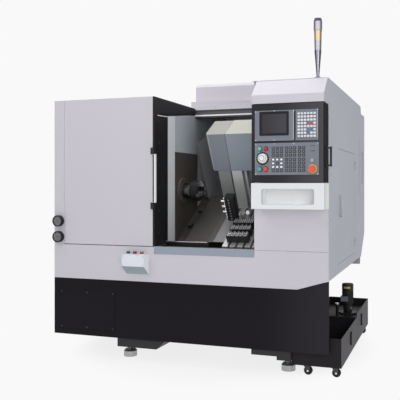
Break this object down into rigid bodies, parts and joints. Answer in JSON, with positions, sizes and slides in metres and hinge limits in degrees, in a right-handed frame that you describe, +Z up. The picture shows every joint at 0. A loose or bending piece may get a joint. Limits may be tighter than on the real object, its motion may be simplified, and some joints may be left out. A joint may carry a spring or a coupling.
{
  "type": "cnc turning lathe",
  "caption": "Slant-bed turning lathe: chucked spindle, gang tool slide under a stepped cover, L-shaped sliding door, swinging control console, side door, coolant tank on casters.",
  "frame": {"origin": "centre of the whole part's box, on the floor", "axes": "+X to the right as the operator sees it, +Y to the back, +Z up"},
  "size_m": [1.873, 1.701, 2.04],
  "materials": {
    "white_paint": "satin, fine texture",
    "black_paint": "satin",
    "charcoal_casting": "painted, matt",
    "dark_machine": "painted, satin",
    "feet_steel": "dull",
    "liner_steel": "satin sheet",
    "machined_steel": "ground",
    "tool_black": "black oxide",
    "bar_steel": "ground",
    "chuck_steel": "turned",
    "handle_plastic": "semi gloss",
    "tray_paint": "satin",
    "console_black": "satin",
    "panel_plastic": "matt",
    "screen_glass": "gloss",
    "key_plastic": "matt",
    "red_plastic": "gloss",
    "green_plastic": "gloss",
    "stop_plastic": "gloss",
    "power_on_plastic": "gloss",
    "maroon_plastic": "gloss",
    "orange_plastic": "gloss",
    "knob_plastic": "gloss",
    "key_metal": "satin",
    "gauge_black": "matt",
    "lamp_chrome": "polished",
    "lamp_amber": "gloss",
    "motor_paint": "satin",
    "belt_rubber": "matt",
    "fork_steel": "plated",
    "wheel_rubber": "matt"
  },
  "bodies": {
    "machine": {"base_casting": "charcoal_casting", "leveling_feet": "feet_steel", "front_skirt": "black_paint", "inspection_panel": "black_paint", "front_panel": "white_paint", "left_housing": "white_paint", "inner_wall": "liner_steel", "right_column": "white_paint", "right_side_panel": "white_paint", "vent_grille": "white_paint", "roof_panel": "white_paint", "electrical_cabinet": "white_paint", "guide_rail": "liner_steel", "chute_plates": "liner_steel", "headstock": "dark_machine", "spindle_motor": "motor_paint", "drive_belt": "belt_rubber", "tray_box": "tray_paint", "switch_box": "tray_paint", "pressure_gauges": "gauge_black", "lamp_body": "lamp_chrome", "lamp_lens": "lamp_amber"},
    "door": {"sliding_door": "white_paint", "door_end_frame": "black_paint", "door_handle": "handle_plastic"},
    "spindle_rotor": {"spindle": "machined_steel", "chuck_body": "chuck_steel", "chuck_jaws": "chuck_steel"},
    "motor_rotor": {"motor_pulley": "machined_steel"},
    "saddle_slide": {"saddle": "dark_machine"},
    "z_screw_rotor": {"z_screw": "machined_steel"},
    "tool_slide": {"cross_slide": "machined_steel", "tool_blocks": "tool_black", "tool_clamps": "machined_steel", "tool_bars": "bar_steel", "carriage_cover": "liner_steel"},
    "console": {"console_box": "console_black", "console_panels": "panel_plastic", "screen": "screen_glass", "keypads": "key_plastic"},
    "estop": {"estop_button": "red_plastic"},
    "start": {"start_button": "green_plastic"},
    "stop": {"stop_button": "stop_plastic"},
    "power_on": {"power_on_button": "power_on_plastic"},
    "power_off": {"power_off_button": "stop_plastic"},
    "override": {"override_knob": "knob_plastic"},
    "key": {"key_switch": "key_metal"},
    "button_left": {"green_button": "green_plastic"},
    "button_middle": {"maroon_button": "maroon_plastic"},
    "button_right": {"orange_button": "orange_plastic"},
    "side_access_door": {"side_door": "white_paint"},
    "side_latch": {"side_door_latch": "key_metal"},
    "tank": {"coolant_tank": "black_paint", "coolant_pump": "motor_paint"},
    "fork_left": {"caster_fork_left": "fork_steel"},
    "fork_right": {"caster_fork_right": "fork_steel"},
    "wheel_front_left": {"caster_wheel_front_left": "wheel_rubber"},
    "wheel_front_right": {"caster_wheel_front_right": "wheel_rubber"},
    "wheel_rear_left": {"caster_wheel_rear_left": "wheel_rubber"},
    "wheel_rear_right": {"caster_wheel_rear_right": "wheel_rubber"}
  },
  "joints": [
    {"name": "door_slide", "type": "slide", "parent": "machine", "child": "door", "axis": [1, 0, 0], "range_m": [0, 0.64]},
    {"name": "spindle_spin", "type": "hinge", "parent": "machine", "child": "spindle_rotor", "pos_m": [-0.4365, -0.25249, 1.06177], "axis": [1, 0, 0], "continuous": true},
    {"name": "motor_spin", "type": "hinge", "parent": "machine", "child": "motor_rotor", "pos_m": [-0.7165, 0.3175, 1.15], "axis": [1, 0, 0], "continuous": true},
    {"name": "z_feed", "type": "slide", "parent": "machine", "child": "saddle_slide", "axis": [1, 0, 0], "range_m": [-0.15, 0.2]},
    {"name": "z_screw_spin", "type": "hinge", "parent": "machine", "child": "z_screw_rotor", "pos_m": [0.2635, -0.19958, 0.82212], "axis": [1, 0, 0], "range_deg": [-2700, 3600]},
    {"name": "x_feed", "type": "slide", "parent": "saddle_slide", "child": "tool_slide", "axis": [0, 0.866, 0.5], "range_m": [0, 0.12]},
    {"name": "console_swing", "type": "hinge", "parent": "machine", "child": "console", "pos_m": [0.4605, -0.8125, 1.33], "axis": [0, 0, -1], "range_deg": [0, 60]},
    {"name": "estop_press", "type": "slide", "parent": "console", "child": "estop", "axis": [0, 1, 0], "range_m": [0, 0.005]},
    {"name": "start_press", "type": "slide", "parent": "console", "child": "start", "axis": [0, 1, 0], "range_m": [0, 0.004], "stiffness_N_per_m": 400, "springref_m": -0.001},
    {"name": "stop_press", "type": "slide", "parent": "console", "child": "stop", "axis": [0, 1, 0], "range_m": [0, 0.004], "stiffness_N_per_m": 400, "springref_m": -0.001},
    {"name": "power_on_press", "type": "slide", "parent": "console", "child": "power_on", "axis": [0, 1, 0], "range_m": [0, 0.004], "stiffness_N_per_m": 400, "springref_m": -0.001},
    {"name": "power_off_press", "type": "slide", "parent": "console", "child": "power_off", "axis": [0, 1, 0], "range_m": [0, 0.004], "stiffness_N_per_m": 400, "springref_m": -0.001},
    {"name": "override_turn", "type": "hinge", "parent": "console", "child": "override", "pos_m": [0.5175, -0.8255, 1.246], "axis": [0, -1, 0], "range_deg": [-150, 150]},
    {"name": "key_turn", "type": "hinge", "parent": "console", "child": "key", "pos_m": [0.7985, -0.8255, 1.232], "axis": [0, -1, 0], "range_deg": [0, 90]},
    {"name": "button_left_press", "type": "slide", "parent": "machine", "child": "button_left", "axis": [0, 0, -1], "range_m": [0, 0.004], "stiffness_N_per_m": 500, "springref_m": -0.003},
    {"name": "button_middle_press", "type": "slide", "parent": "machine", "child": "button_middle", "axis": [0, 0, -1], "range_m": [0, 0.004], "stiffness_N_per_m": 500, "springref_m": -0.003},
    {"name": "button_right_press", "type": "slide", "parent": "machine", "child": "button_right", "axis": [0, 0, -1], "range_m": [0, 0.004], "stiffness_N_per_m": 500, "springref_m": -0.003},
    {"name": "side_door_swing", "type": "hinge", "parent": "machine", "child": "side_access_door", "pos_m": [0.8678, 0.3235, 0.97], "axis": [0, 0, 1], "range_deg": [0, 110]},
    {"name": "side_latch_turn", "type": "hinge", "parent": "side_access_door", "child": "side_latch", "pos_m": [0.8635, -0.3115, 1.015], "axis": [1, 0, 0], "range_deg": [0, 90]},
    {"name": "tank_slide", "type": "slide", "parent": "machine", "child": "tank", "axis": [1, 0, 0], "range_m": [0, 0.7]},
    {"name": "swivel_left", "type": "hinge", "parent": "tank", "child": "fork_left", "pos_m": [0.7088, -0.6075, 0.056], "axis": [0, 0, 1], "continuous": true},
    {"name": "swivel_right", "type": "hinge", "parent": "tank", "child": "fork_right", "pos_m": [0.8735, -0.6075, 0.056], "axis": [0, 0, 1], "continuous": true},
    {"name": "roll_front_left", "type": "hinge", "parent": "fork_left", "child": "wheel_front_left", "pos_m": [0.7288, -0.6075, 0.025], "axis": [0, 1, 0], "continuous": true},
    {"name": "roll_rear_left", "type": "hinge", "parent": "tank", "child": "wheel_rear_left", "pos_m": [0.7288, 0.5125, 0.025], "axis": [0, 1, 0], "continuous": true},
    {"name": "roll_front_right", "type": "hinge", "parent": "fork_right", "child": "wheel_front_right", "pos_m": [0.8935, -0.6075, 0.025], "axis": [0, 1, 0], "continuous": true},
    {"name": "roll_rear_right", "type": "hinge", "parent": "tank", "child": "wheel_rear_right", "pos_m": [0.8935, 0.5125, 0.025], "axis": [0, 1, 0], "continuous": true}
  ],
  "couplings": [
    {"joint": "motor_spin", "follows": "spindle_spin", "ratio": 1.3333},
    {"joint": "z_screw_spin", "follows": "z_feed", "rad_per_m": 314.16}
  ]
}
